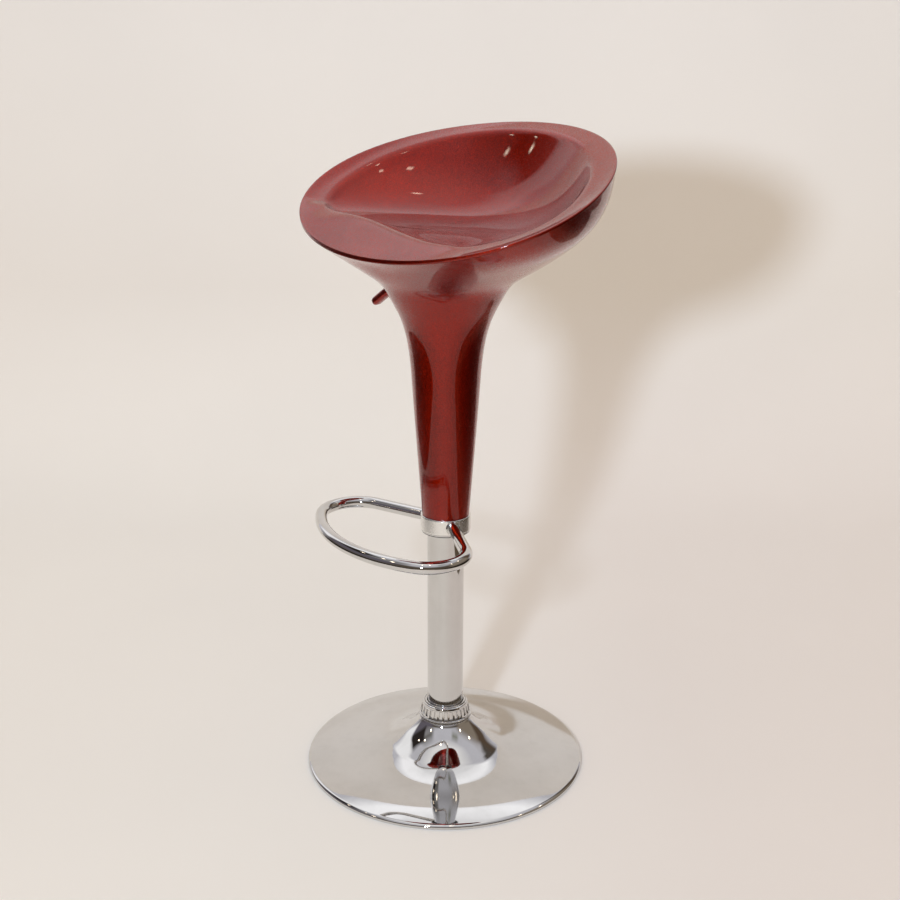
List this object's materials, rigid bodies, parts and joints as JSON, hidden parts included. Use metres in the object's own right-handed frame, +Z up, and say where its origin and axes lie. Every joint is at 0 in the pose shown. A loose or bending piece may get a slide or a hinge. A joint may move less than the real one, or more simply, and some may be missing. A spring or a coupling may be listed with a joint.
{
  "type": "diner counter stool",
  "caption": "Height-adjustable swivel counter stool: weighted round base, chromed gas-lift column, moulded scoop seat on a flared stem, looped footrest and lift lever.",
  "frame": {"origin": "on the floor, under the column axis, at the middle of the floor pad", "axes": "+Z up along the column; the sitter faces -Y; the lift lever is on the -X side"},
  "size_m": [0.4576, 0.39, 0.8751],
  "materials": {
    "seat_red": "high gloss metallic red lacquer over moulded shells",
    "chrome": "polished chrome plating",
    "steel": "plain steel",
    "cast_iron": "as cast, painted dark",
    "rubber": "matt black rubber",
    "nylon": "black nylon"
  },
  "bodies": {
    "base": {"floor_pad": "rubber", "ballast_plate": "cast_iron", "hub_sleeve": "steel", "hub_bolt_1": "steel", "hub_bolt_2": "steel", "hub_bolt_3": "steel", "hub_bolt_4": "steel", "base_shell": "chrome", "trim_ring": "chrome", "column_tube": "chrome", "column_bush": "nylon", "lower_bearing_washer": "steel"},
    "cage": {"ball_cage": "nylon", "bearing_ball_1": "steel", "bearing_ball_2": "steel", "bearing_ball_3": "steel", "bearing_ball_4": "steel", "bearing_ball_5": "steel", "bearing_ball_6": "steel", "bearing_ball_7": "steel", "bearing_ball_8": "steel"},
    "rod": {"piston_rod": "chrome", "rod_clip": "steel", "upper_bearing_washer": "steel", "rod_buffer": "rubber", "piston": "steel", "piston_nut": "steel"},
    "seat": {"gas_cylinder": "steel", "cylinder_gland": "nylon", "taper_socket": "steel", "seat_plate": "steel", "plate_bolt_1": "steel", "plate_bolt_2": "steel", "plate_bolt_3": "steel", "plate_bolt_4": "steel", "lever_bracket": "steel", "lever_pivot_pin": "steel", "carrier_tube": "steel", "glide_bush": "nylon", "footrest_collar": "chrome", "collar_screw_1": "steel", "collar_screw_2": "steel", "footrest_loop": "chrome", "stem_shell": "seat_red", "seat_pan": "seat_red"},
    "lever": {"lever_rod": "steel", "lever_grip": "seat_red"},
    "pin": {"release_pin": "steel"}
  },
  "joints": [
    {"name": "seat_swivel", "type": "hinge", "parent": "base", "child": "rod", "pos_m": [0, 0, 0], "axis": [0, 0, 1], "continuous": true},
    {"name": "cage_roll", "type": "hinge", "parent": "base", "child": "cage", "pos_m": [0, 0, 0], "axis": [0, 0, 1], "continuous": true},
    {"name": "seat_height", "type": "slide", "parent": "rod", "child": "seat", "axis": [0, 0, 1], "range_m": [-0.215, 0]},
    {"name": "lever_lift", "type": "hinge", "parent": "seat", "child": "lever", "pos_m": [-0.034, 0, 0.704], "axis": [0, 1, 0], "range_deg": [0, 5], "stiffness_Nm_per_rad": 1, "springref_deg": -5.16},
    {"name": "release_pin_travel", "type": "slide", "parent": "seat", "child": "pin", "axis": [0, 0, -1], "range_m": [0, 0.0032]}
  ],
  "couplings": [
    {"joint": "cage_roll", "follows": "seat_swivel", "ratio": 0.5},
    {"joint": "release_pin_travel", "follows": "lever_lift", "m_per_rad": 0.0365}
  ]
}
